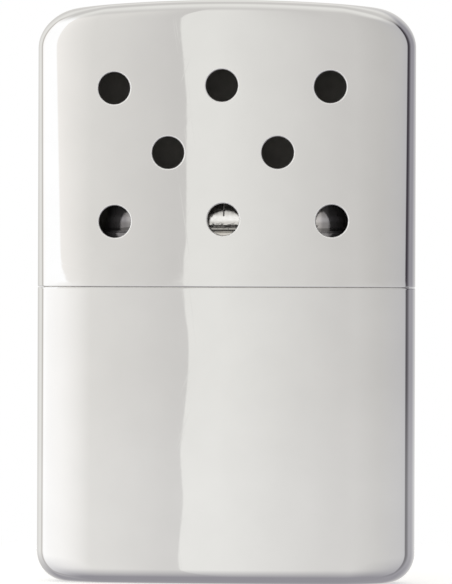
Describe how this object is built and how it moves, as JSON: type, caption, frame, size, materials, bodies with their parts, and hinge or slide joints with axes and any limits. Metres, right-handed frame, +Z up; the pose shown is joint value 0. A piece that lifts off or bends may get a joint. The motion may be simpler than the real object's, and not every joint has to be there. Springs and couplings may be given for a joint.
{
  "type": "catalytic hand warmer",
  "caption": "Pocket catalytic hand warmer: a drawn metal tank with a lift-off vented cover over a plug-in burner.",
  "frame": {"origin": "middle of the flat base", "axes": "+Z up through the cover, +X to the object's right seen from its front, the vented front faces -Y"},
  "size_m": [0.05, 0.0126, 0.0766],
  "materials": {
    "chrome_case": "polished chrome plate on drawn brass",
    "burner_metal": "thin nickel-bright sheet, slightly dulled by heat",
    "cotton": "loose cotton wadding",
    "felt": "dense wick felt",
    "catalyst_fibre": "matted grey glass fibre"
  },
  "bodies": {
    "tank": {"tank_shell": "chrome_case", "tank_collar": "chrome_case", "filler_neck": "chrome_case", "wick_felt": "felt", "wadding_front": "cotton", "wadding_middle": "cotton", "wadding_back": "cotton"},
    "cover": {"cover_shell": "chrome_case"},
    "burner": {"burner_skirt": "burner_metal", "burner_hood": "burner_metal", "catalyst_tray": "burner_metal", "catalyst_mat": "catalyst_fibre"}
  },
  "joints": [
    {"name": "cover_lift", "type": "slide", "parent": "tank", "child": "cover", "axis": [0, 0, 1], "range_m": [0, 0.045]},
    {"name": "burner_lift", "type": "slide", "parent": "tank", "child": "burner", "axis": [0, 0, 1], "range_m": [0, 0.008]}
  ]
}
